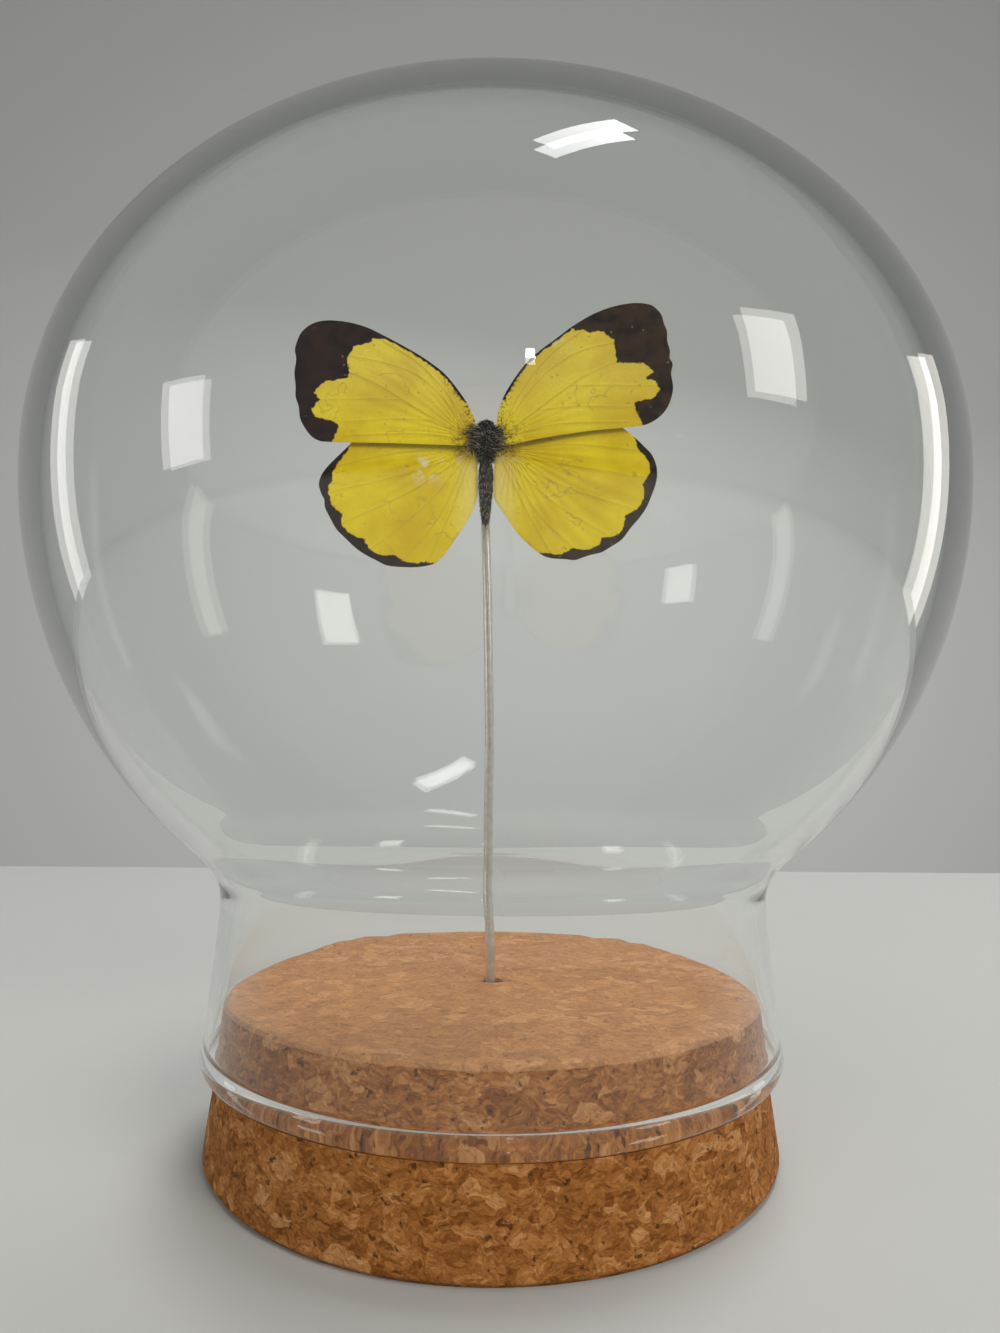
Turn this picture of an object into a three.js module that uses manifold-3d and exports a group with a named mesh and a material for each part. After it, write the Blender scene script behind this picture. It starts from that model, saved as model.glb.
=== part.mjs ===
import * as THREE from 'three';
import { mergeVertices } from 'three/addons/utils/BufferGeometryUtils.js';
import Module from 'manifold-3d';

// A spread yellow butterfly on a wire stem, under a blown-glass globe with a short flared neck,
// which sits over a tapered cork base. Millimetres, +Z up, the origin in the middle of the
// cork's underside. The butterfly's upper side faces -Y.

// Driving dimensions
const gap = 0.3; // clearance between pieces that touch

const cork = { footRadius: 30.5, topRadius: 28.6, height: 16.1, edge: 0.5, holeRadius: 1.2, holeDepth: 9.7 };

const glass = {
  globeRadius: 50, // widest, at the equator
  equatorHeight: 68.6,
  crownRise: 41.2, // the crown is flatter than a ball
  wall: 1.8,
  joinAngle: 0.836, // below the equator, where the ball turns into the neck
  waistRadius: 29.8,
  waistHeight: 25.7,
  waistWall: 1.5,
  neckRadius: 30.85, // just above the lip
  neckWall: 1.3,
  lipRadius: 31.2,
  lipFloor: 9.2,
  lipBand: 2.1, // height of the rounded lip
  lipOpening: 0.17, // how much wider the lip's bore is than the neck's
};

const wire = { radius: 0.6, foot: 6.8, top: 79.2 };

const specimen = {
  midline: -1.4, // x of the body's middle
  rootHeight: 78, // z of the wing roots
  wingThickness: 0.4,
  forewingDepth: -0.55, // y of the forewings' middle layer
  hindwingDepth: 0.15,
  dihedral: 0.07, // how far the wing tips lean forward
  thoraxRadius: 1.2,
};

const domeSides = 44;
const curveSteps = 4; // per curve of the glass profile, twice that on the globe
const wingSteps = 52; // round each wing's outline
const bodySides = 14;
const bodySteps = 36; // along the body's silhouette
const weld = 1e-4; // vertices closer than this are one

// Wing outlines as [distance to the right of the midline, height above the roots]
const wingOutlines = {
  forewing_left: {
    depth: specimen.forewingDepth,
    points: [
      [-1.55, 1.9], [-2.3, 5], [-4.7, 8.1], [-9, 11.2], [-13.7, 13.6], [-18.4, 14.8], [-21.4, 14.2],
      [-23, 10.9], [-23, 6.2], [-22.3, 2.3], [-21, 0.3], [-18.7, -0.5], [-11, -0.4], [-3, -0.3], [-1.6, 0.4],
    ],
  },
  forewing_right: {
    depth: specimen.forewingDepth,
    points: [
      [1.55, 2.2], [2, 5.6], [4.7, 9.9], [8.4, 13.1], [12.9, 16.1], [17.9, 17.5], [20.7, 16.8],
      [21.8, 13.7], [22.4, 9.6], [22.4, 6.6], [21.7, 4.1], [19.5, 2], [16.5, 1.7], [11.9, 1.3], [6.5, 0.5],
      [2.3, -0.3], [1.6, 0.5],
    ],
  },
  hindwing_left: {
    depth: specimen.hindwingDepth,
    points: [
      [-1.6, -0.6], [-3, 1], [-9, 2.2], [-14.6, 1.4], [-17.4, -1.4], [-18.9, -3.3], [-19.8, -5.5],
      [-19.2, -8], [-17.7, -10.9], [-15.4, -13.2], [-11.8, -15.1], [-8, -15.2], [-5.6, -14.3],
      [-3.4, -11.3], [-1.6, -7.8], [-1.25, -4.5], [-1.4, -2.2],
    ],
  },
  hindwing_right: {
    depth: specimen.hindwingDepth,
    points: [
      [1.6, -0.6], [3, 1.4], [9, 3.2], [14.6, 3.1], [17.6, 1.2], [19.3, -0.8], [20.5, -3.9],
      [19.8, -6.5], [18.3, -9.1], [16.2, -11.7], [13.7, -13.4], [10.7, -14.2], [7.3, -13.8],
      [4.9, -12.2], [2.5, -9], [1.3, -6.6], [1.15, -4.2], [1.3, -2],
    ],
  },
};

// The body's silhouette from head to tail, as [radius, height above the roots]
const bodyLine = [
  [0, 3.1], [0.5, 2.95], [0.78, 2.4], [0.62, 1.95], [1.05, 1.3], [specimen.thoraxRadius, 0.2], [0.98, -1],
  [0.62, -1.7], [0.84, -3.2], [0.8, -5.4], [0.6, -7.8], [0.28, -9.6], [0, -10.1],
];
const eye = { radius: 0.46, side: 0.52, height: 2.45 };

// One leg of a folded pair: hip, knee, ankle and foot, as [side, behind, above the roots]
const legs = [
  [[0.6, 0.5, 1.3], [1.5, 1.7, 2.4], [1.7, 2.3, 0.8], [1.4, 2.7, -0.4]],
  [[0.7, 0.6, 0.4], [2, 1.9, 0.9], [2.2, 2.5, -1.2], [1.6, 3, -2.8]],
  [[0.6, 0.5, -0.6], [2.1, 1.8, -1.4], [2, 2.4, -3.6], [1.4, 2.8, -5.4]],
];
const legRadius = 0.17;

const upright = (geometry) => geometry.rotateX(Math.PI / 2); // a lathe's Y axis becomes Z

const finish = (color, roughness, metalness = 0, opacity = 1) =>
  new THREE.MeshStandardMaterial({ color, roughness, metalness, opacity, transparent: opacity < 1 });

const finishes = {
  cork: finish(0xb5824f, 0.9),
  glass: finish(0xe8efea, 0.05, 0, 0.3),
  steel: finish(0xa9a49a, 0.35, 0.9),
  wing: finish(0xdcc828, 0.7),
  fur: finish(0x2b2418, 0.85),
};

// Cork: a truncated cone with eased edges and a blind hole for the wire
function corkBase() {
  const { footRadius, topRadius, height, edge, holeRadius, holeDepth } = cork;
  const profile = [
    [0, 0], [footRadius - edge, 0], [footRadius, edge], [topRadius, height - edge], [topRadius - edge, height],
    [holeRadius, height], [holeRadius, height - holeDepth], [0, height - holeDepth],
  ];
  return upright(new THREE.LatheGeometry(profile.map((p) => new THREE.Vector2(...p)), domeSides));
}

// One skin of the glass from the crown to the lip: an ellipse, a ball, then two Bezier curves.
// depth is 0 for the outside and 1 for the inside.
function glassSkin(depth) {
  const wall = depth * glass.wall;
  const waist = glass.waistRadius - depth * glass.waistWall;
  const neck = glass.neckRadius - depth * glass.neckWall;
  const ball = glass.globeRadius - wall;
  const joinX = ball * Math.cos(glass.joinAngle);
  const joinY = glass.equatorHeight - ball * Math.sin(glass.joinAngle);
  const pull = 2.6; // length of the curves' handles at the join and the waist
  const lipTop = glass.lipFloor + glass.lipBand;
  const skin = new THREE.Path();
  skin.absellipse(0, glass.equatorHeight, ball, glass.crownRise - wall, Math.PI / 2, 0, true);
  skin.absellipse(0, glass.equatorHeight, ball, ball, 0, -glass.joinAngle, true);
  skin.bezierCurveTo(
    joinX - pull * Math.sin(glass.joinAngle), joinY - pull * Math.cos(glass.joinAngle),
    waist, glass.waistHeight + pull, waist, glass.waistHeight);
  skin.bezierCurveTo(
    waist, glass.waistHeight - 1.5 * pull,
    neck - 0.1 * pull, lipTop + 1.5 * pull, neck, lipTop);
  return skin.getPoints(curveSteps);
}

// Glass: outside skin, rounded lip, inside skin, turned about the axis as one closed wall
function glassDome() {
  const lipInside = glass.neckRadius - glass.neckWall + glass.lipOpening;
  const lipMiddle = (glass.lipRadius + lipInside) / 2;
  const lip = new THREE.EllipseCurve(
    lipMiddle, glass.lipFloor + glass.lipBand / 2,
    (glass.lipRadius - lipInside) / 2, glass.lipBand / 2, 0, -Math.PI, true);
  const profile = [...glassSkin(0), ...lip.getPoints(2 * curveSteps), ...glassSkin(1).reverse()];
  return upright(new THREE.LatheGeometry(profile.reverse(), domeSides));
}

// A round tube along a curve
function tube(points, radius, sides, steps) {
  const path = new THREE.CatmullRomCurve3(points.map((p) => new THREE.Vector3(...p)), false, 'centripetal');
  const section = new THREE.Shape().absarc(0, 0, radius, 0, 2 * Math.PI, false);
  const ring = new THREE.Shape(section.getPoints(sides / 2).slice(0, -1));
  return new THREE.ExtrudeGeometry(ring, { extrudePath: path, steps, bevelEnabled: false });
}

// Wire: hand-straightened, so it leans and wavers by a fraction of a millimetre
function mountingWire() {
  const behind = specimen.thoraxRadius + gap + wire.radius; // clear of the thorax
  return tube([
    [-0.25, 0.1, wire.foot], [-0.3, 0.2, 18], [-0.65, 0.6, 30], [-0.7, 1, 44], [-1.1, 1.7, 60],
    [specimen.midline, behind, 69], [specimen.midline, behind, wire.top],
  ], wire.radius, 10, 26);
}

// Wing: a closed spline outline cut from a thin plate
function wingPlate(points) {
  const outline = new THREE.CatmullRomCurve3(
    points.map(([x, z]) => new THREE.Vector3(x, z, 0)), true, 'centripetal').getPoints(wingSteps).slice(0, -1);
  const shape = new THREE.Shape(outline.map((p) => new THREE.Vector2(p.x, p.y)));
  const plate = new THREE.ExtrudeGeometry(shape, { depth: specimen.wingThickness, bevelEnabled: false });
  return upright(plate).translate(0, specimen.wingThickness / 2, 0);
}

// Body: head, thorax and abdomen turned as one, joined with the eyes and six folded legs
function butterflyBody(wasm) {
  const solid = (geometry) => {
    geometry.deleteAttribute('normal');
    geometry.deleteAttribute('uv');
    const { attributes, index } = mergeVertices(geometry, weld);
    return new wasm.Manifold(new wasm.Mesh({
      numProp: 3, vertProperties: attributes.position.array, triVerts: Uint32Array.from(index.array),
    }));
  };
  const line = new THREE.SplineCurve(bodyLine.map((p) => new THREE.Vector2(...p))).getPoints(bodySteps);
  let body = solid(upright(new THREE.LatheGeometry(line.reverse(), bodySides)));
  for (const side of [-1, 1]) {
    const ball = new THREE.SphereGeometry(eye.radius, 10, 8).translate(side * eye.side, 0, eye.height);
    body = body.add(solid(ball));
    for (const leg of legs) {
      body = body.add(solid(tube(leg.map(([x, y, z]) => [side * x, y, z]), legRadius, 6, 8)));
    }
  }
  const { vertProperties, triVerts } = body.getMesh();
  const geometry = new THREE.BufferGeometry();
  geometry.setAttribute('position', new THREE.BufferAttribute(vertProperties, 3));
  geometry.setIndex(new THREE.BufferAttribute(triVerts, 1));
  geometry.computeVertexNormals();
  return geometry;
}

const wasm = await Module();
wasm.setup();

const object = new THREE.Group();

function addPiece(name, geometry, material) {
  const mesh = new THREE.Mesh(geometry, material);
  mesh.name = name;
  object.add(mesh);
  return mesh;
}

addPiece('cork_base', corkBase(), finishes.cork);
addPiece('glass_dome', glassDome(), finishes.glass);
addPiece('mounting_wire', mountingWire(), finishes.steel);
addPiece('butterfly_body', butterflyBody(wasm), finishes.fur)
  .position.set(specimen.midline, 0, specimen.rootHeight);

for (const [name, { depth, points }] of Object.entries(wingOutlines)) {
  const wing = addPiece(name, wingPlate(points), finishes.wing);
  wing.position.set(specimen.midline, depth, specimen.rootHeight);
  wing.rotation.z = name.endsWith('left') ? specimen.dihedral : -specimen.dihedral;
}

export default object;
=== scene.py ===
import bpy
import math
import numpy as np
from mathutils import Matrix, Vector


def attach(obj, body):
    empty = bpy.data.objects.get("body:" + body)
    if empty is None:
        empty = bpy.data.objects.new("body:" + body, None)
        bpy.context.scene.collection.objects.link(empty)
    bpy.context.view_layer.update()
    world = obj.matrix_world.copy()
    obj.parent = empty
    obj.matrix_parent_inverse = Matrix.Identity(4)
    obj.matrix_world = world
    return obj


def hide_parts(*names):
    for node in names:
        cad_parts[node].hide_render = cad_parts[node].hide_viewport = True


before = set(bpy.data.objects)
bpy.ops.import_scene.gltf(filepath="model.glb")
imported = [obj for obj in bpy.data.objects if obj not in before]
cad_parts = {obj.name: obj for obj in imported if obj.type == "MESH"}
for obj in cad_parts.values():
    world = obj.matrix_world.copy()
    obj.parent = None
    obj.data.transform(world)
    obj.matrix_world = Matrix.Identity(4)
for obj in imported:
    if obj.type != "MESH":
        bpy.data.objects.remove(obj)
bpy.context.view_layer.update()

mm = 0.001  # every shape below is worked out in millimetres
tiny = 1e-12  # keeps a divisor from reaching zero
rng = np.random.default_rng(7)


def meshPiece(name, verts, faces, replaced, material):
    mesh = bpy.data.meshes.new(name)
    mesh.from_pydata((verts * mm).tolist(), [], faces)
    mesh.validate()
    mesh.shade_smooth()
    piece = bpy.data.objects.new(name, mesh)
    bpy.context.collection.objects.link(piece)
    piece.data.materials.append(material)
    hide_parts(replaced)
    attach(piece, "root")
    print("made", name, len(mesh.polygons), "faces")
    return piece


def addAttribute(piece, name, values):
    layer = piece.data.attributes.new(name, "FLOAT", "POINT")
    layer.data.foreach_set("value", np.asarray(values, dtype=np.float32))


def gridFaces(rows, columns):
    # quads between neighbouring rings of a grid whose columns run round and close
    row, column = np.meshgrid(np.arange(rows - 1), np.arange(columns), indexing="ij")
    nextColumn = (column + 1) % columns
    corners = [row * columns + column, row * columns + nextColumn,
               (row + 1) * columns + nextColumn, (row + 1) * columns + column]
    return np.stack(corners, -1).reshape(-1, 4)


def poleFaces(rows, columns, flipped=False):
    # the grid's quads, and fans from both end rings to two pole vertices stored after the grid
    around = np.arange(columns)
    ring = np.roll(around, -1)
    count = rows * columns
    last = count - columns
    fans = np.vstack([np.stack([ring, around, np.full_like(around, count)], 1),
                      np.stack([last + around, last + ring, np.full_like(around, count + 1)], 1)])
    way = -1 if flipped else 1
    return gridFaces(rows, columns)[:, ::way].tolist() + fans[:, ::way].tolist()


def lidFaces(rows, columns, flipped=False):
    # the grid's quads, and one many-sided lid over each end ring
    count = rows * columns
    lids = [list(range(columns))[::-1], list(range(count - columns, count))]
    way = -1 if flipped else 1
    return gridFaces(rows, columns)[:, ::way].tolist() + [lid[::way] for lid in lids]


def smoothLine(points, count, closed=False, perSpan=24):
    # Catmull-Rom curve through the points, then resampled at even distances along it
    points = np.array(points, float)
    if closed:
        wrapped = np.vstack([points[-1], points, points[:2]])
    else:
        wrapped = np.vstack([2 * points[0] - points[1], points, 2 * points[-1] - points[-2]])
    t = np.linspace(0, 1, perSpan, endpoint=False)[:, None]
    spans = []
    for a, b, c, d in zip(wrapped[:-3], wrapped[1:-2], wrapped[2:-1], wrapped[3:]):
        spans.append(0.5 * (2 * b + (c - a) * t + (2 * a - 5 * b + 4 * c - d) * t ** 2
                            + (3 * b - a - 3 * c + d) * t ** 3))
    line = np.vstack(spans + [points[:1] if closed else points[-1:]])
    run = np.concatenate([[0], np.cumsum(np.linalg.norm(np.diff(line, axis=0), axis=1))])
    wanted = np.linspace(0, run[-1], count + closed)
    line = np.stack([np.interp(wanted, run, axis) for axis in line.T], 1)
    return line[:-1] if closed else line


def waves(x, y, z, scale, seed, octaves=4, perOctave=5):
    # smooth noise of about -1 to 1: sines of random direction and phase, halving in size and height
    local = np.random.default_rng(seed)
    total = np.zeros_like(x)
    for octave in range(octaves):
        for _ in range(perOctave):
            direction = local.normal(size=3)
            direction *= 2 ** octave / scale / np.linalg.norm(direction)
            phase = local.uniform(0, 2 * np.pi)
            total += np.sin(x * direction[0] + y * direction[1] + z * direction[2] + phase) / 2 ** octave
    return total / perOctave


def distanceTo(line, x, z):
    # shortest distance from each point to the polyline
    best = np.full_like(x, np.inf)
    for (ax, az), (bx, bz) in zip(line[:-1], line[1:]):
        dx, dz = bx - ax, bz - az
        along = np.clip(((x - ax) * dx + (z - az) * dz) / (dx * dx + dz * dz + tiny), 0, 1)
        best = np.minimum(best, np.hypot(x - ax - along * dx, z - az - along * dz))
    return best


def insideOf(line, x, z):
    # even-odd rule: a point is inside when a ray to its right crosses an odd number of edges
    crossed = np.zeros(x.shape, bool)
    for (ax, az), (bx, bz) in zip(line, np.roll(line, -1, axis=0)):
        spans = (az > z) != (bz > z)
        crossed ^= spans & (x < (bx - ax) * (z - az) / (bz - az + tiny) + ax)
    return crossed


def bell(offset, width):
    # 1 in the middle, falling off smoothly over the width
    return np.exp(-(offset / width) ** 2)


class Value:
    # a shader socket; each operator adds its Math node
    def __init__(self, finish, socket):
        self.finish = finish
        self.socket = socket

    def maths(self, operation, first, second):
        return self.finish.node("ShaderNodeMath", {"operation": operation}, [first, second])

    def __add__(self, other):
        return self.maths("ADD", self, other)

    def __radd__(self, other):
        return self.maths("ADD", other, self)

    def __sub__(self, other):
        return self.maths("SUBTRACT", self, other)

    def __rsub__(self, other):
        return self.maths("SUBTRACT", other, self)

    def __mul__(self, other):
        return self.maths("MULTIPLY", self, other)

    def __rmul__(self, other):
        return self.maths("MULTIPLY", other, self)


class Finish:
    # a material; the fixed sockets are named with _ for each space
    def __init__(self, name, **fixed):
        self.material = bpy.data.materials.new(name)
        self.material.use_nodes = True
        self.nodes = self.material.node_tree.nodes
        self.links = self.material.node_tree.links
        self.shader = self.nodes["Principled BSDF"]
        self.wear(**fixed)

    def put(self, socket, value):
        if isinstance(value, Value):
            self.links.new(value.socket, socket)
        else:
            socket.default_value = value

    def node(self, kind, settings=None, inputs=(), output=0):
        made = self.nodes.new(kind)
        for key, value in (settings or {}).items():
            if key == "stops":
                ramp = made.color_ramp.elements
                for place, colour in value:
                    ramp.new(place).color = colour
                ramp.remove(ramp[0])
                ramp.remove(ramp[-1])
            else:
                setattr(made, key, value)
        named = inputs.items() if isinstance(inputs, dict) else enumerate(inputs)
        for key, value in named:
            self.put(made.inputs[key], value)
        return Value(self, made.outputs[output])

    def place(self):
        return self.node("ShaderNodeTexCoord", output="Object")

    def noise(self, scale, detail=3.0, where=None, output=0):
        where = where or self.place()
        return self.node("ShaderNodeTexNoise", {}, {"Vector": where, "Scale": scale, "Detail": detail},
                         output)

    def cells(self, scale, output="Distance", where=None):
        where = where or self.place()
        return self.node("ShaderNodeTexVoronoi", {}, {"Vector": where, "Scale": scale}, output)

    def vector(self, operation, *inputs):
        return self.node("ShaderNodeVectorMath", {"operation": operation}, inputs)

    def red(self, colour):
        return self.node("ShaderNodeSeparateColor", {}, [colour])

    def attribute(self, name):
        return self.node("ShaderNodeAttribute", {"attribute_name": name}, output="Fac")

    def step(self, value, low, high):
        return self.node("ShaderNodeMapRange", {"interpolation_type": "SMOOTHSTEP"},
                         {"Value": value, "From Min": low, "From Max": high})

    def blend(self, factor, first, second):
        return self.node("ShaderNodeMix", {"data_type": "RGBA"}, {0: factor, 6: first, 7: second}, output=2)

    def bump(self, height, strength, distance):
        return self.node("ShaderNodeBump", {}, {"Height": height, "Strength": strength, "Distance": distance})

    def wear(self, **sockets):
        for socket, value in sockets.items():
            self.put(self.shader.inputs[socket.replace("_", " ")], value)
        return self.material


corkLook = {
    "swirls": 420.0, "swirlReach": (0.0029, 0.0029, 0.0022), "flatten": (1.0, 1.0, 1.7),
    "granules": 560.0, "grit": 1700.0, "fibres": 2400.0, "pits": 1150.0,
    "granuleShare": 0.30, "gritShare": 0.34, "fibreShare": 0.72, "darker": 0.18,
    "chipShare": 0.3, "pitShare": 0.8,
    "tones": [(0.08, (0.10, 0.030, 0.005, 1)), (0.36, (0.215, 0.076, 0.016, 1)),
              (0.62, (0.325, 0.130, 0.034, 1)), (0.92, (0.50, 0.245, 0.090, 1))],
    # the last colour here lightens the cork's top: painted light falling from above
    "chip": (0.52, 0.29, 0.13, 1), "pit": (0.05, 0.02, 0.008, 1), "paintedLitTop": (0.50, 0.29, 0.155, 1)}


def corkFinish():
    # pressed granules of two sizes and fibres between them, all bent by a swirl and drawn out sideways
    look = corkLook
    f = Finish("agglomeratedCork", IOR=1.4, Specular_IOR_Level=0.25)
    swirl = f.noise(look["swirls"], 3.0, output="Color")
    bent = f.vector("MULTIPLY_ADD", swirl, look["swirlReach"], f.place())
    flat = f.vector("MULTIPLY", bent, look["flatten"])
    tone = f.red(f.cells(look["granules"], "Color", flat))
    grit = f.red(f.cells(look["grit"], "Color", flat))
    fibre = f.noise(look["fibres"], 5.0, flat)
    mixed = tone * look["granuleShare"] + grit * look["gritShare"] + fibre * look["fibreShare"]
    mixed = mixed - look["darker"]
    base = f.node("ShaderNodeValToRGB", {"stops": look["tones"]}, [mixed])
    chips = f.step(tone, 0.86, 0.93) * f.step(fibre, 0.3, 0.5)
    base = f.blend(chips * look["chipShare"], base, look["chip"])
    pits = f.step(f.noise(look["pits"], 5.0), 0.635, 0.69)
    base = f.blend(pits * look["pitShare"], base, look["pit"])
    # painted light: the top is blended towards a lighter colour, standing in for the light that falls on it
    # from above
    base = f.blend(f.attribute("top") * (0.25 + fibre * 0.25), base, look["paintedLitTop"])
    height = fibre * 1.2 + grit * 0.5 - pits * 1.5
    return f.wear(Base_Color=base, Roughness=0.7 + fibre * 0.25, Normal=f.bump(height, 0.6, 0.0003))


corkSize = {
    "foot": 30.5, "top": 28.6, "height": 16.1, "edge": 0.5, "hole": 1.2, "holeDepth": 9.7,
    "underside": 0.06,  # how far the middle of the underside is hollowed
    "tip": 0.01, "around": 360,
    "dent": 0.16, "dentScale": 0.9, "pit": 1.1, "pitScale": 0.45, "pitLevel": 0.75, "margin": 0.05}


def corkBase():
    # a profile turned about the axis, its skin pushed inwards by noise
    c = corkSize
    foot, top, height, edge, hole = (c[key] for key in ("foot", "top", "height", "edge", "hole"))
    floor = height - c["holeDepth"]
    stops = [  # radius, height, steps to the next stop; the upper edge is worn round
        (c["tip"], c["underside"], 24), (foot - edge, 0, 4), (foot, edge, 60),
        (top + 0.08, height - 1.5 * edge, 3), (top + 0.06, height - 1.1 * edge, 4),
        (top - 0.15, height - 0.35 * edge, 4), (top - edge, height, 3), (top - 1.4 * edge, height, 70),
        (hole + 0.3, height, 3), (hole, height - 0.2, 14), (hole, floor, 6), (c["tip"], floor, 0)]
    rows = np.vstack([np.linspace(a[:2], b[:2], a[2], endpoint=False) for a, b in zip(stops[:-1], stops[1:])]
                     + [np.array([stops[-1][:2]])])
    angle = np.linspace(0, 2 * np.pi, c["around"], endpoint=False)
    radius = np.repeat(rows[:, :1], c["around"], 1)
    level = np.repeat(rows[:, 1:], c["around"], 1)
    x, y = radius * np.cos(angle), radius * np.sin(angle)
    dent = np.clip(waves(x, y, level, c["dentScale"], 3, 3), 0, 1) * c["dent"]
    pit = np.clip(waves(x, y, level, c["pitScale"], 8, 2) - c["pitLevel"], 0, 1) * c["pit"]
    onSide = (radius > top - 1) & (level > c["margin"]) & (level < height - c["margin"])
    onTop = (level > height - c["margin"]) & (radius < top - 0.3)
    radius = radius - np.where(onSide, dent + pit, 0)
    level = level - np.where(onTop, 0.6 * dent + pit, 0)
    verts = np.stack([radius * np.cos(angle), radius * np.sin(angle), level], -1).reshape(-1, 3)
    poles = [[0, 0, c["underside"]], [0, 0, floor]]
    piece = meshPiece("corkBase", np.vstack([verts, poles]), poleFaces(len(rows), c["around"]),
                      "cork_base", corkFinish())
    # marks the top ring, which the finish lightens as painted light
    addAttribute(piece, "top", np.append(level.ravel() > height - 0.6, [0, 0]))


def glassFinish():
    # plain clear glass, the same all over
    return Finish("blownGlass", Roughness=0.0, IOR=1.45, Base_Color=(0.985, 0.995, 0.988, 1),
                  Transmission_Weight=1.0, Specular_IOR_Level=0.28).material


glassSize = {
    "globe": 50.0, "equator": 68.6, "crown": 41.2, "wall": 1.8, "join": 0.836, "waist": 29.8,
    "waistHeight": 25.7, "waistWall": 1.5, "neck": 30.94, "neckWall": 0.96, "lip": 31.2, "lipInside": 29.72,
    "lipFloor": 9.2, "lipBand": 2.4, "beadTurn": 0.873, "pull": 2.6,
    "around": 240, "crownSteps": 60, "bellySteps": 34, "throatSteps": 16, "flareSteps": 20, "lipSteps": 30,
    "waver": 0.07, "waverScale": 9.0, "waverFoot": 24, "waverRise": 8,
    "crease": 0.06, "creaseAngle": 5.85, "creaseWidth": 0.25, "creaseHeight": 33, "creaseRise": 4.5,
    "rippleUp": 1.9, "rippleRound": 26, "crownFade": 20, "apex": 0.002}


def bezier(a, b, c, d, count):
    # cubic Bezier curve from a to d, without its last point
    t = np.linspace(0, 1, count, endpoint=False)[:, None]
    a, b, c, d = map(np.array, (a, b, c, d))
    return (1 - t) ** 3 * a + 3 * t * (1 - t) ** 2 * b + 3 * t * t * (1 - t) * c + t ** 3 * d


def glassSkin(depth):
    # ellipse for the crown, ball below the equator, then two Bezier curves down to the lip;
    # depth is 0 for the outside and 1 for the inside
    g = glassSize
    equator, pull, waistHeight = g["equator"], g["pull"], g["waistHeight"]
    wall = depth * g["wall"]
    waist = g["waist"] - depth * g["waistWall"]
    neck = g["neck"] - depth * g["neckWall"]
    ball = g["globe"] - wall
    up = np.linspace(0.5 * np.pi - g["apex"], 0, g["crownSteps"], endpoint=False)
    down = np.linspace(0, -g["join"], g["bellySteps"], endpoint=False)
    crown = np.stack([ball * np.cos(up), equator + (g["crown"] - wall) * np.sin(up)], 1)
    belly = np.stack([ball * np.cos(down), equator + ball * np.sin(down)], 1)
    joint = np.array([ball * math.cos(g["join"]), equator - ball * math.sin(g["join"])])
    slope = np.array([math.sin(g["join"]), math.cos(g["join"])])
    lipTop = g["lipFloor"] + g["lipBand"] / 2 * (1 + math.sin(g["beadTurn"]))
    throat = bezier(joint, joint - pull * slope, (waist, waistHeight + pull), (waist, waistHeight),
                    g["throatSteps"])
    flare = bezier((waist, waistHeight), (waist, waistHeight - 1.5 * pull),
                   (neck - 0.1 * pull, lipTop + 1.5 * pull), (neck, lipTop), g["flareSteps"])
    return np.vstack([crown, belly, throat, flare])


def glassDome():
    # both skins and the rounded lip turned about the axis, the inner skin wavering as blown glass does
    g = glassSize
    turn = np.linspace(g["beadTurn"], -np.pi - g["beadTurn"], g["lipSteps"])
    lip = np.stack([(g["lip"] + g["lipInside"]) / 2 + (g["lip"] - g["lipInside"]) / 2 * np.cos(turn),
                    g["lipFloor"] + g["lipBand"] / 2 * (1 + np.sin(turn))], 1)
    outside, inside = glassSkin(0), glassSkin(1)[::-1]
    rows = np.vstack([outside, lip, inside])
    angle = np.linspace(0, 2 * np.pi, g["around"], endpoint=False)
    radius, height = rows[:, :1], rows[:, 1:] + 0 * angle
    x, y = radius * np.cos(angle), radius * np.sin(angle)
    isInside = (np.arange(len(rows)) > len(outside) + len(lip))[:, None]
    fade = np.clip((height - g["waverFoot"]) / g["waverRise"], 0, 1)
    waver = waves(x, y, height, g["waverScale"], 5, 2) * g["waver"] * isInside * fade
    crease = (bell(angle - g["creaseAngle"], g["creaseWidth"])
              * bell(height - g["creaseHeight"], g["creaseRise"]))
    ripple = np.sin(height * g["rippleUp"] + angle * g["rippleRound"])
    waver = waver + g["crease"] * crease * ripple * isInside
    inward = np.clip(waver + g["waver"] * isInside, 0, 1) / g["globe"]
    scale = 1 - inward * np.clip(radius / g["crownFade"], 0, 1)
    verts = np.stack([x * scale, y * scale, height], -1).reshape(-1, 3)
    poles = [[0, 0, rows[0, 1]], [0, 0, rows[-1, 1]]]
    piece = meshPiece("glassDome", np.vstack([verts, poles]), poleFaces(len(rows), g["around"], flipped=True),
                      "glass_dome", glassFinish())
    piece.visible_shadow = False  # clear glass lets the lamps through instead of blocking them


wireSize = {
    "radius": 0.53, "sections": 120, "sides": 20, "route": [
        (-0.25, 0.1, 6.8), (-0.3, 0.2, 18), (-0.65, 0.6, 30), (-0.7, 1, 44), (-1.1, 1.7, 60),
        (-1.4, 2.1, 69), (-1.4, 2.1, 79.2)],
    "dull": (0.58, 0.56, 0.51, 1), "bright": (0.68, 0.66, 0.61, 1)}


def wireFinish():
    f = Finish("drawnWire", Metallic=0.85)
    grain = f.noise(1800.0, 5.0)
    colour = f.blend(f.step(grain, 0.35, 0.7), wireSize["dull"], wireSize["bright"])
    return f.wear(Base_Color=colour, Roughness=0.28 + grain * 0.08, Normal=f.bump(grain, 0.03, 0.00002))


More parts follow.
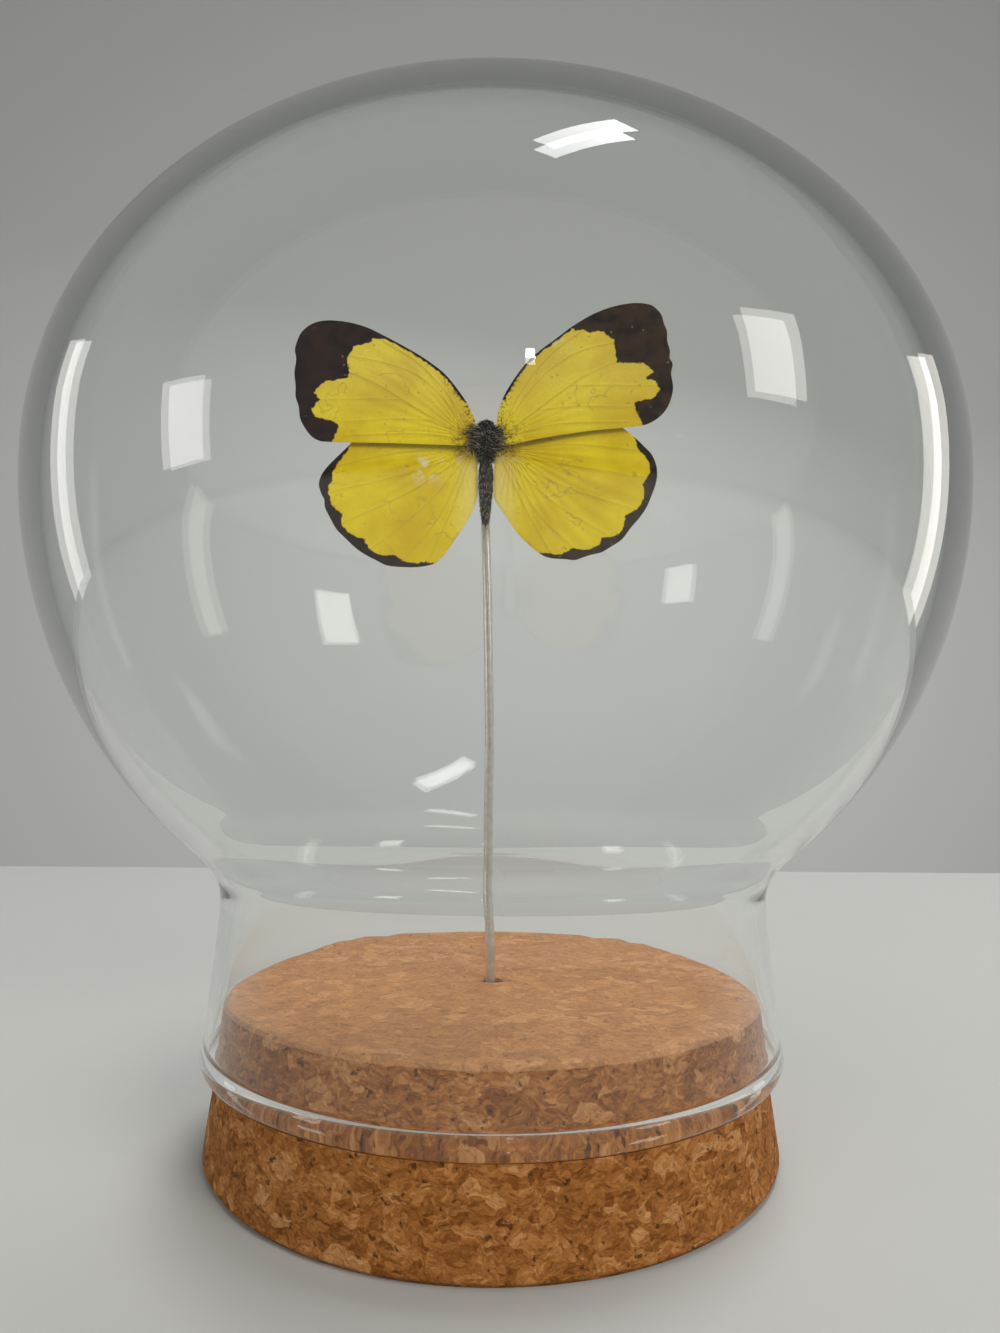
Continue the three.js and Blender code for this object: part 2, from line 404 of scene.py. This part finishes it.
def tubeVerts(route, radii, sections, sides):
    # a ring carried along the route, its radius running through the radii
    line = smoothLine(route, sections)
    radius = np.interp(np.linspace(0, 1, sections), np.linspace(0, 1, len(radii)), radii)[:, None, None]
    along = np.gradient(line, axis=0)
    along /= np.linalg.norm(along, axis=1)[:, None]
    across = np.cross(along, [0.3, 0.9, 0.2])  # a direction that no route follows
    across /= np.linalg.norm(across, axis=1)[:, None]
    other = np.cross(along, across)
    angle = np.linspace(0, 2 * np.pi, sides, endpoint=False)[None, :, None]
    ring = across[:, None] * np.cos(angle) + other[:, None] * np.sin(angle)
    return (line[:, None] + radius * ring).reshape(-1, 3), lidFaces(sections, sides)


def mountingWire():
    w = wireSize
    verts, faces = tubeVerts(w["route"], [w["radius"]] * 2, w["sections"], w["sides"])
    meshPiece("mountingWire", verts, faces, "mounting_wire", wireFinish())


perch = {"midline": -1.4, "roots": 78.0}  # where the butterfly sits

wingSkin = {
    "lean": 0.07, "thick": 0.1, "around": 300, "rings": 110, "crowding": 0.9,
    "edge": 0.3, "edgeShare": 0.12,  # the sheet thins to this share over the last stretch to its edge
    "vein": 0.075, "veinWidth": 0.16, "trough": 0.07, "troughWidth": 1.5,
    "veinSteps": 14, "sag": 0.09, "sagScale": 3.5, "pleat": 0.03, "pleats": 46, "relief": 0.14}

wingLook = {
    "deep": (0.54, 0.375, 0.002, 1), "bright": (0.66, 0.52, 0.010, 1), "cream": (0.70, 0.58, 0.20, 1),
    "rubbed": (0.62, 0.60, 0.48, 1), "scratch": (0.30, 0.21, 0.05, 1), "grain": (0.52, 0.37, 0.012, 1),
    "vein": (0.42, 0.30, 0.03, 1), "speck": (0.13, 0.08, 0.02, 1), "dust": (0.035, 0.022, 0.01, 1),
    "darkest": (0.006, 0.003, 0.002, 1), "sparkle": (0.30, 0.19, 0.07, 1),
    "clouds": 150.0, "grains": 2600.0, "rubs": 900.0, "curls": 330.0, "curlPlaces": 170.0, "specks": 1300.0,
    "dusting": 3000.0, "browning": 700.0, "sparkles": 5200.0, "ragging": 2400.0, "scales": 7000.0,
    "creamShare": 0.8, "rubShare": 0.8, "scratchShare": 0.45, "grainShare": 0.25, "veinShare": 0.42,
    "speckShare": 0.35, "sparkleShare": 0.6, "ragged": 0.62}

# share, x, z, half width and half height of the places where the yellow scales are rubbed off
rubbedPatches = [(1.0, -7.2, -3.1, 1.9, 1.5), (0.8, 9, 12.2, 1.2, 0.9), (0.7, -2.6, -2, 1.2, 1),
                 (0.7, 2.6, -2, 1.2, 1)]

# cream beside the abdomen and up the wing, and dark dust round the root and along the leading edge
wingMarks = {"besideFrom": 1, "besideOver": 3.2, "besideDown": 4, "upShare": 0.3, "upOver": 8,
             "dustRoot": (1.5, 0.5), "dustReach": 2.6, "dustFoot": -1.5, "edgeDust": 0.8, "edgeReach": 0.7}

# the black along the forewings' leading edge, and the hindwings' scalloped margin, which fades inwards
darkMargin = {"width": 1.5, "bay": 0.75, "bays": 7.5, "centre": (8, -5), "fadeFrom": (16, 5), "fadeOver": 5,
              "bare": 0.2, "leadingEdge": 0.3}

# points are (distance right of the midline, height above the roots)
wings = {
    "forewing_left": {
        "layer": -0.55, "hub": (-2.4, 0.9), "pale": 0.35, "seed": 13, "margin": (0.022, 0.009, 0.005, 1),
        "outline": [
            (-1.2, 1.6), (-1.5, 3.2), (-2.5, 5.2), (-4.7, 8.1), (-6.6, 9.7), (-9, 11.2), (-13.7, 13.6),
            (-16, 14.4), (-18.3, 14.7), (-19.9, 14.6), (-21.2, 14.1), (-22.2, 13.2), (-22.7, 12.1),
            (-23, 10.8), (-22.8, 9.6), (-22.95, 7.9), (-22.75, 6.3), (-22.7, 4.9), (-22.3, 3.7), (-22.1, 2.3),
            (-21.5, 1.1), (-20.7, 0.1), (-19.8, -0.4), (-18.6, -0.5), (-11, -0.4), (-3, -0.35), (-1.2, -0.1)],
        "dark": [
            (-11.9, 12.5), (-13.8, 12.6), (-13.8, 12.1), (-15.9, 11.5), (-16.8, 9.9), (-16.5, 8.7),
            (-16.6, 7.5), (-19.5, 6.8), (-20.6, 5.5), (-19.8, 4.7), (-20.8, 3.4), (-20.3, 2.5), (-17.9, 2),
            (-17.5, 1.4), (-18.3, -0.6), (-19, -4), (-30, -4), (-30, 22), (-11, 22)],
        "veins": [
            [(-2, 0.8), (-4.5, 4.6), (-8, 8), (-12, 9.5), (-16.5, 10.2)],
            [(-2, 1), (-4, 5), (-8, 9.5), (-13, 12.6)],
            [(-2, 0.6), (-6, 2.6), (-10, 5), (-13, 6.8), (-17, 8.5)],
            [(-10, 5), (-14, 5), (-20, 4.6)],
            [(-6, 2.6), (-11, 2.6), (-17, 2)],
            [(-2, 0.3), (-8, 0.9), (-17, 0.3)]]},
    "forewing_right": {
        "layer": -0.55, "hub": (2.4, 1.0), "pale": 0.35, "seed": 14, "margin": (0.034, 0.018, 0.007, 1),
        "outline": [
            (1.2, 1.6), (1.35, 3.4), (2, 5.6), (3.2, 7.8), (4.7, 9.9), (6.5, 11.6), (8.5, 13.1),
            (10.6, 14.7), (13, 16.1), (15.4, 17.1), (17.8, 17.5), (19.7, 17.3), (20.6, 16.7), (21.2, 15.8),
            (21.4, 14.8), (21.8, 13.6), (21.8, 12.4), (22.1, 11.2), (22.05, 10.3), (22.4, 9.5), (22.2, 8.3),
            (22.4, 6.7), (22.2, 5.4), (21.7, 4.1), (20.8, 3), (19.6, 2.2), (18.6, 1.9), (16.6, 1.7),
            (11.9, 1.3), (6.5, 0.5), (2.3, -0.3), (1.2, -0.1)],
        "dark": [
            (10.7, 14), (12.1, 14), (12.4, 13.7), (14.1, 13.8), (15.4, 12.7), (15.5, 11.5), (15.7, 9.8),
            (18.8, 9.7), (20.1, 8.6), (19.1, 7.7), (20.2, 7.5), (20.8, 6.4), (20.1, 5.3), (17.8, 4.8),
            (17.8, 4), (18.7, 1.9), (19, -3), (30, -3), (30, 24), (9.5, 24)],
        "veins": [
            [(2, 1), (4.5, 5.5), (8, 9.4), (12, 11.6), (16, 12.4)],
            [(2, 1.4), (4, 6), (8, 11.2), (12.6, 14.6)],
            [(2, 0.8), (6, 4), (10, 7), (13, 8.8), (17, 10.4)],
            [(10, 7), (14, 7), (20, 6.8)],
            [(6, 4), (11, 4.4), (18, 4.2)],
            [(2, 0.5), (8, 2.2), (17, 2.4)]]},
    "hindwing_left": {
        "layer": 0.15, "hub": (-3.0, -0.6), "pale": 1.0, "seed": 13, "margin": (0.022, 0.009, 0.005, 1),
        "outline": [
            (-1.2, -0.6), (-3, 1), (-9, 2.2), (-14.6, 1.4), (-16.4, -0.6), (-17.8, -2.1), (-18.8, -3.2),
            (-19.5, -4.3), (-19.8, -5.5), (-19.5, -6.6), (-19.1, -7.4), (-19, -8.3), (-18.4, -9.5),
            (-17.6, -10.9), (-16.7, -11.8), (-15.3, -13.1), (-14.1, -13.9), (-12.9, -14.5), (-11.6, -15.1),
            (-9.7, -15.25), (-7.9, -15.2), (-6.2, -14.8), (-5.4, -14.2), (-4.5, -13.1), (-3.4, -11.4),
            (-2.1, -9.3), (-1.2, -7.3), (-0.9, -5.4), (-1, -3.4)],
        "veins": [
            [(-2.2, -0.8), (-10, -1.2), (-18.5, -3.4)],
            [(-2.2, -1), (-10, -4), (-19, -6.6)],
            [(-2.2, -1.2), (-9, -6), (-17.4, -10.4)],
            [(-2.2, -1.4), (-7.5, -8), (-14, -13.6)],
            [(-2.2, -1.5), (-5.5, -9), (-10, -14.8)],
            [(-1.9, -1.6), (-4, -8), (-6.6, -14.2)]]},
    "hindwing_right": {
        "layer": 0.15, "hub": (3.0, -0.6), "pale": 1.0, "seed": 14, "margin": (0.034, 0.018, 0.007, 1),
        "outline": [
            (1.2, -0.6), (3, 1.4), (9, 3.2), (14.6, 3.1), (16.6, 1.8), (18, 0.6), (18.9, -0.3), (19.8, -1.3),
            (20.35, -2.6), (20.5, -3.9), (20.3, -5.1), (19.8, -6.5), (19.2, -7.9), (18.4, -9.1),
            (17.3, -10.4), (16.3, -11.7), (15, -12.6), (13.8, -13.3), (12.5, -13.6), (11.6, -13.9),
            (10.7, -14.2), (9.6, -14.1), (8.3, -14), (7.3, -13.8), (6.4, -13.3), (5.1, -12.2), (3.7, -10.7),
            (2.6, -9), (1.6, -7.6), (0.95, -6.4), (0.9, -4.8), (1, -3)],
        "veins": [
            [(2.2, -0.8), (10, 0), (19, -1)],
            [(2.2, -1), (10, -2.6), (19.8, -4.4)],
            [(2.2, -1.2), (9, -5), (18.6, -8.4)],
            [(2.2, -1.4), (8, -7), (15.6, -11.8)],
            [(2.2, -1.5), (6, -8), (11.6, -13.8)],
            [(1.9, -1.6), (4.4, -7), (8, -13.6)]]},
}


def wingFinish(name, margin):
    # yellow scales under veins, rubbed places, scratches and specks, then the ragged dark margin over all
    look = wingLook
    f = Finish(name, Specular_IOR_Level=0.08)
    broad = f.noise(look["clouds"], 3.0)
    fine = f.noise(look["grains"], 3.0)
    colour = f.blend(f.step(broad, 0.35, 0.65), look["deep"], look["bright"])
    colour = f.blend(f.attribute("pale") * look["creamShare"], colour, look["cream"])
    rubbed = f.attribute("rub") * f.step(f.noise(look["rubs"], 5.0), 0.47, 0.6)
    colour = f.blend(rubbed * look["rubShare"], colour, look["rubbed"])
    curl = f.noise(look["curls"], 2.0) - 0.5
    scratch = 1 - f.step(curl * curl, 0.0, 0.00035)
    scratch = scratch * f.step(f.noise(look["curlPlaces"], 1.0), 0.56, 0.62)
    colour = f.blend(scratch * look["scratchShare"], colour, look["scratch"])
    colour = f.blend(f.step(fine, 0.35, 0.75) * look["grainShare"], colour, look["grain"])
    vein = 1 - f.step(f.attribute("vein"), 0.03, 0.13)
    colour = f.blend(vein * look["veinShare"], colour, look["vein"])
    specks = f.step(f.noise(look["specks"], 5.0), 0.665, 0.72)
    colour = f.blend(specks * look["speckShare"], colour, look["speck"])
    dust = f.step(f.noise(look["dusting"], 3.0), 0.5, 0.62) * f.attribute("dust")
    colour = f.blend(dust, colour, look["dust"])
    black = f.blend(f.step(f.noise(look["browning"], 5.0), 0.35, 0.7), margin, look["darkest"])
    sparkle = f.step(f.cells(look["sparkles"], "Color"), 0.93, 0.96)
    black = f.blend(sparkle * look["sparkleShare"], black, look["sparkle"])
    ragged = f.attribute("dark") + (f.noise(look["ragging"], 5.0) - 0.5) * look["ragged"]
    colour = f.blend(f.step(ragged, -0.07, 0.09), colour, black)
    scales = f.cells(look["scales"]) * 0.6 + fine * 0.8
    return f.wear(Base_Color=colour, Roughness=0.62 + fine * 0.25, Normal=f.bump(scales, 0.35, 0.00012))


def darkField(w, x, z, rim):
    # how far a point lies inside the black, in millimetres: negative where it is yellow
    m = darkMargin
    if "dark" in w:
        sign = np.where(insideOf(w["dark"], x, z), 1, -1)
        leadingEdge = distanceTo(w["outline"][2:9], x, z)
        return np.maximum(sign * distanceTo(w["dark"], x, z), m["leadingEdge"] - leadingEdge)
    out, centre = np.abs(x), m["centre"]
    bays = m["bay"] * np.abs(np.sin(m["bays"] * np.arctan2(z - centre[1], out - centre[0])))
    shown = (np.clip((out - z - m["fadeFrom"][0]) / m["fadeOver"], 0, 1)
             * np.clip((out - m["fadeFrom"][1]) / m["fadeOver"], 0, 1))
    return (m["width"] - bays) * shown - rim - m["bare"] * (1 - shown)


def wing(name, w):
    # rays from a hub out to the spline outline; the front and back sheets meet at the edge
    s = wingSkin
    outline = smoothLine(w["outline"], s["around"], closed=True)
    hub = np.array(w["hub"])
    outward = np.linspace(0, 1, s["rings"] + 1)[1:] ** s["crowding"]
    flat = hub + outward[:, None, None] * (outline - hub)[None]
    x, z = flat[..., 0], flat[..., 1]
    out = np.abs(x)
    rim = distanceTo(np.vstack([outline, outline[:1]]), x, z)
    vein = np.min([distanceTo(smoothLine(route, s["veinSteps"]), x, z) for route in w["veins"]], axis=0)
    ridge = s["vein"] * bell(vein, s["veinWidth"]) - s["trough"] * np.clip(1 - vein / s["troughWidth"], 0, 1)
    sag = s["sag"] * waves(x, 0 * x, z, s["sagScale"], w["seed"], 2)
    pleat = s["pleat"] * np.sin(np.arctan2(z - hub[1], x - hub[0]) * s["pleats"]) * np.clip(rim / 2, 0, 1)
    relief = np.clip(ridge + sag + pleat, -s["relief"], s["relief"])
    half = s["thick"] / 2 * np.clip(rim / s["edge"], s["edgeShare"], 1)
    middle = w["layer"] - out * math.sin(s["lean"]) - relief
    across = perch["midline"] + x * math.cos(s["lean"])
    front, back = (np.stack([across, middle + side * half, perch["roots"] + z], -1) for side in (-1, 1))
    rows = np.concatenate([front, back[::-1]])  # out along the front sheet, back in along the other
    hubs = np.stack([front[0].mean(0), back[0].mean(0)])
    area = np.sum(outline[:, 0] * np.roll(outline[:, 1], -1) - outline[:, 1] * np.roll(outline[:, 0], -1))
    faces = poleFaces(len(rows), s["around"], flipped=area > 0)
    piece = meshPiece(name.replace("_", "-"), np.vstack([rows.reshape(-1, 3), hubs]), faces, name,
                      wingFinish(name + "Scales", w["margin"]))
    m = wingMarks
    beside = (np.clip(1 - (out - m["besideFrom"]) / m["besideOver"], 0, 1)
              * np.clip(-z / m["besideDown"], 0, 1))
    pale = np.clip(beside * w["pale"] + m["upShare"] * np.clip(z / m["upOver"], 0, 1), 0, 1)
    dust = (bell(np.hypot(out - m["dustRoot"][0], z - m["dustRoot"][1]), m["dustReach"])
            + m["edgeDust"] * bell(distanceTo(w["outline"][:4], x, z), m["edgeReach"]))
    rub = sum(share * bell(x - patchX, width) * bell(z - patchZ, height)
              for share, patchX, patchZ, width, height in rubbedPatches)
    fields = {"rub": rub, "vein": vein, "dark": darkField(w, x, z, rim), "pale": pale,
              "dust": np.clip(dust * (z > m["dustFoot"]), 0, 1)}
    for field, values in fields.items():
        both = np.concatenate([values, values[::-1]]).ravel()
        addAttribute(piece, field, np.append(both, [values[0].mean()] * 2))


bodySize = {
    "line": [(0.03, 3.1), (0.5, 2.95), (0.78, 2.4), (0.62, 1.95), (1.05, 1.3), (1.2, 0.2), (0.98, -1),
             (0.62, -1.7), (0.84, -3.2), (0.8, -5.4), (0.6, -7.8), (0.28, -9.6), (0.03, -10.1)],
    "sections": 90, "sides": 40, "waist": -1.9,  # the abdomen starts here
    "segments": 3.4, "groove": 0.11, "bandTone": 0.3,
    "eye": 0.46, "eyeSide": 0.52, "eyeHeight": 2.45, "eyeRows": 16, "eyeSides": 24, "eyePole": 0.05,
    "legs": [[(0.6, 0.5, 1.3), (1.5, 1.7, 2.4), (1.7, 2.3, 0.8), (1.4, 2.7, -0.4)],
             [(0.7, 0.6, 0.4), (2, 1.9, 0.9), (2.2, 2.5, -1.2), (1.6, 3, -2.8)],
             [(0.6, 0.5, -0.6), (2.1, 1.8, -1.4), (2, 2.4, -3.6), (1.4, 2.8, -5.4)]],
    "legRadii": [0.16, 0.15, 0.12, 0.06], "legSections": 28, "legSides": 8,
    "black": (0.0035, 0.0025, 0.002, 1), "brown": (0.04, 0.028, 0.012, 1), "paleHair": (0.36, 0.32, 0.22, 1)}

hairSize = {
    "count": 4400, "width": 0.045, "length": (0.35, 0.9), "thoraxShare": 0.72, "top": 2.9, "tail": -9.6,
    "abdomenLength": 0.7, "paleShare": 0.2, "spread": 0.3, "outward": 0.55, "droop": 0.55,
    "abdomenSpread": 0.1, "abdomenOutward": 0.16, "abdomenDroop": 0.8, "sunk": 0.97,
    "tuftEvery": 3, "tuftHeights": (-1.2, 2.2), "tuftLength": (0.7, 2.3), "tuftRoot": 0.7,
    "tuftDepth": (-1.05, -0.75), "tuftSqueeze": 0.8, "tuftForward": (-0.25, 0.02), "tuftRise": (0.05, 0.45)}


def furFinish():
    b = bodySize
    f = Finish("bodyFur", Specular_IOR_Level=0.2)
    tone = f.noise(1600.0, 3.0)
    colour = f.blend(f.step(tone, 0.5, 0.68), b["black"], b["brown"])
    colour = f.blend(f.attribute("pale"), colour, b["paleHair"])
    return f.wear(Base_Color=colour, Roughness=0.75 + tone * 0.2, Normal=f.bump(tone, 0.5, 0.0002))


def trunk(line):
    # the silhouette turned about the body's axis, with a groove between the abdomen's segments
    b = bodySize
    angle = np.linspace(0, 2 * np.pi, b["sides"], endpoint=False)
    height = line[:, 1:] + 0 * angle
    grooves = b["groove"] * np.abs(np.sin(height * b["segments"])) ** 6 * (height < b["waist"])
    radius = line[:, :1] - grooves
    verts = np.stack([radius * np.cos(angle), radius * np.sin(angle), height], -1).reshape(-1, 3)
    return verts, lidFaces(b["sections"], b["sides"], flipped=True)


def eyeball(side):
    # a ball with small flat poles, out to one side of the head
    b = bodySize
    up = np.linspace(b["eyePole"], np.pi - b["eyePole"], b["eyeRows"])[:, None]
    turn = np.linspace(0, 2 * np.pi, b["eyeSides"], endpoint=False)
    ball = np.stack([np.sin(up) * np.cos(turn), np.sin(up) * np.sin(turn), np.cos(up) + 0 * turn], -1)
    verts = ball.reshape(-1, 3) * b["eye"] + [side * b["eyeSide"], 0, b["eyeHeight"]]
    return verts, lidFaces(b["eyeRows"], b["eyeSides"], flipped=True)


def unit(vectors):
    return vectors / np.linalg.norm(vectors, axis=1)[:, None]


def hairs(line):
    # three-sided cones: short and lying down on the abdomen, upright on the thorax,
    # and long tufts from the thorax over the wings' bases
    h = hairSize
    n = h["count"]
    waist = bodySize["waist"]
    height = np.where(rng.random(n) < h["thoraxShare"], rng.uniform(waist, h["top"], n),
                      rng.uniform(h["tail"], waist, n))
    turn = rng.uniform(0, 2 * np.pi, n)
    onAbdomen = height < waist
    skin = np.interp(-height, -line[:, 1], line[:, 0]) * h["sunk"]
    outward = np.stack([np.cos(turn), np.sin(turn), 0 * turn], 1)
    root = outward * skin[:, None] + np.stack([0 * turn, 0 * turn, height], 1)
    lean = unit(outward * h["outward"] + rng.normal(0, h["spread"], (n, 3)) - [0, 0, h["droop"]])
    length = rng.uniform(*h["length"], n) * np.where(onAbdomen, h["abdomenLength"], 1)
    lying = (outward * h["abdomenOutward"] + rng.normal(0, h["abdomenSpread"], (n, 3))
             - [0, 0, h["abdomenDroop"]])
    lean = unit(np.where(onAbdomen[:, None], lying, lean))
    spin = rng.normal(size=(n, 3))
    low, high = h["tuftHeights"]
    tuft = ((np.arange(n) % h["tuftEvery"] == 0) & (height > low) & (height < high))[:, None]
    flank = np.sign(outward[:, :1])
    fan = np.hstack([flank, rng.uniform(*h["tuftForward"], (n, 1)), rng.normal(*h["tuftRise"], (n, 1))])
    lean = np.where(tuft, unit(fan), lean)
    length = np.where(tuft[:, 0], rng.uniform(*h["tuftLength"], n), length)
    tuftRoot = np.hstack([h["tuftRoot"] * flank, rng.uniform(*h["tuftDepth"], (n, 1)),
                          height[:, None] * h["tuftSqueeze"]])
    root = np.where(tuft, tuftRoot, root)
    across = unit(np.cross(lean, spin))
    other = np.cross(lean, across)
    thirds = [k * 2 * math.pi / 3 for k in range(3)]
    foot = [root + h["width"] * (across * math.cos(a) + other * math.sin(a)) for a in thirds]
    verts = np.stack(foot + [root + lean * length[:, None]], 1).reshape(-1, 3)
    cone = np.array([[0, 1, 3], [1, 2, 3], [2, 0, 3], [2, 1, 0]])
    return verts, (4 * np.arange(n)[:, None, None] + cone).reshape(-1, 3).tolist()


def butterflyBody():
    # trunk, eyes, tapered legs and hairs in one mesh
    b = bodySize
    line = smoothLine(b["line"], b["sections"])
    parts = [trunk(line)]
    for side in (-1, 1):
        parts.append(eyeball(side))
        for leg in b["legs"]:
            route = [(side * x, y, z) for x, y, z in leg]
            parts.append(tubeVerts(route, b["legRadii"], b["legSections"], b["legSides"]))
    parts.append(hairs(line))
    starts = np.cumsum([0] + [len(verts) for verts, faces in parts])
    faces = [[start + i for i in face] for start, (_, own) in zip(starts.tolist(), parts) for face in own]
    verts = np.vstack([verts for verts, _ in parts]) + [perch["midline"], 0, perch["roots"]]
    piece = meshPiece("butterflyBody", verts, faces, "butterfly_body", furFinish())
    paleHairs = np.repeat(rng.random(hairSize["count"]) < hairSize["paleShare"], 4)
    bands = b["bandTone"] * np.abs(np.sin(line[:, 1] * b["segments"])) ** 5 * (line[:, 1] < b["waist"])
    bands = np.repeat(bands, b["sides"])
    bare = np.zeros(len(verts) - len(bands) - len(paleHairs))
    addAttribute(piece, "pale", np.concatenate([bands, bare, paleHairs]))


studio = {
    "floorEdge": 0.215, "floorWide": 1.5, "floorGrey": (0.40, 0.405, 0.39, 1),
    "wallBack": 0.9, "wallWide": 3, "wallFoot": -1.5, "wallGrey": (0.66, 0.665, 0.655, 1),
    "roomGrey": (0.50, 0.51, 0.50, 1), "roomStrength": 0.5, "aim": (0, 0, 0.06),
    "eye": (0, -0.10054, 0.04051), "pitch": 5.98, "yaw": 0.31, "roll": 0.45,
    "focalPixels": 860, "frameHeight": 1333, "sensor": 36, "nearest": 0.005,
    "lamps": [  # name, place, size, power, colour, seen in the glass
        ("windowRight", (0.75, -0.45, 0.42), (0.2, 0.26), 0.8, (1.0, 0.98, 0.93), True),
        ("windowLeft", (-0.8, -0.35, 0.22), (0.16, 0.22), 0.45, (1.0, 0.98, 0.95), True),
        ("ceilingPanel", (0.16, -0.1, 0.9), (0.26, 0.06), 0.32, (1, 1, 1), True),
        ("edgeLeft", (-0.75, 0.22, 0.2), (0.1, 0.5), 0.26, (1.0, 0.98, 0.94), True),
        ("edgeRight", (0.75, 0.28, 0.2), (0.12, 0.5), 0.36, (1.0, 0.97, 0.9), True),
        ("lampDots", (0.1, -0.9, 0.35), (0.03, 0.03), 0.12, (1, 1, 1), True),
        ("keySoft", (0.5, -0.55, 0.5), (0.4, 0.4), 4.3, (1.0, 0.96, 0.9), False),
        ("fillSoft", (-0.5, -0.6, 0.3), (0.4, 0.4), 1.7, (1.0, 0.99, 0.97), False),
        ("backSoft", (0.15, 0.35, 0.8), (0.4, 0.4), 5.5, (1, 1, 1), False)]}


def stagePlane(name, corners, colour):
    mesh = bpy.data.meshes.new(name)
    mesh.from_pydata(corners, [], [list(range(len(corners)))])
    plane = bpy.data.objects.new(name, mesh)
    bpy.context.collection.objects.link(plane)
    plane.data.materials.append(Finish(name, Base_Color=colour, Roughness=0.9).material)


def softBox(name, place, size, power, colour, seen):
    lamp = bpy.data.lights.new(name, "AREA")
    lamp.shape = "RECTANGLE"
    lamp.size, lamp.size_y = size
    lamp.energy = power
    lamp.color = colour
    rig = bpy.data.objects.new(name, lamp)
    bpy.context.collection.objects.link(rig)
    rig.location = place
    rig.visible_glossy = seen
    rig.visible_transmission = seen
    rig.rotation_euler = (Vector(place) - Vector(studio["aim"])).to_track_quat("Z", "Y").to_euler()


def room():
    s = studio
    wide, edge = s["floorWide"], s["floorEdge"]
    stagePlane("floor", [(-wide, -wide, 0), (wide, -wide, 0), (wide, edge, 0), (-wide, edge, 0)],
               s["floorGrey"])
    wide, far, foot = s["wallWide"], s["wallBack"], s["wallFoot"]
    stagePlane("backdrop", [(-wide, far, foot), (wide, far, foot), (wide, far, wide), (-wide, far, wide)],
               s["wallGrey"])
    world = bpy.data.worlds.new("softRoom")
    world.use_nodes = True
    background = world.node_tree.nodes["Background"]
    background.inputs["Color"].default_value = s["roomGrey"]
    background.inputs["Strength"].default_value = s["roomStrength"]
    bpy.context.scene.world = world
    bpy.context.scene.view_settings.view_transform = "Standard"
    for lamp in s["lamps"]:
        softBox(*lamp)
    print("lit the room with", len(s["lamps"]), "lamps")


def camera():
    s = studio
    seer = bpy.data.objects.new("camera", bpy.data.cameras.new("camera"))
    bpy.context.collection.objects.link(seer)
    seer.data.sensor_width = s["sensor"]
    seer.data.lens = s["sensor"] * s["focalPixels"] / s["frameHeight"]
    seer.data.clip_start = s["nearest"]
    seer.matrix_world = (Matrix.Translation(s["eye"]) @ Matrix.Rotation(-math.radians(s["yaw"]), 4, "Z")
                         @ Matrix.Rotation(math.radians(90 + s["pitch"]), 4, "X")
                         @ Matrix.Rotation(math.radians(s["roll"]), 4, "Z"))
    bpy.context.scene.camera = seer
    print("set the camera")


room()
camera()
corkBase()
glassDome()
mountingWire()
for wingName, wingFacts in wings.items():
    wing(wingName, wingFacts)
butterflyBody()
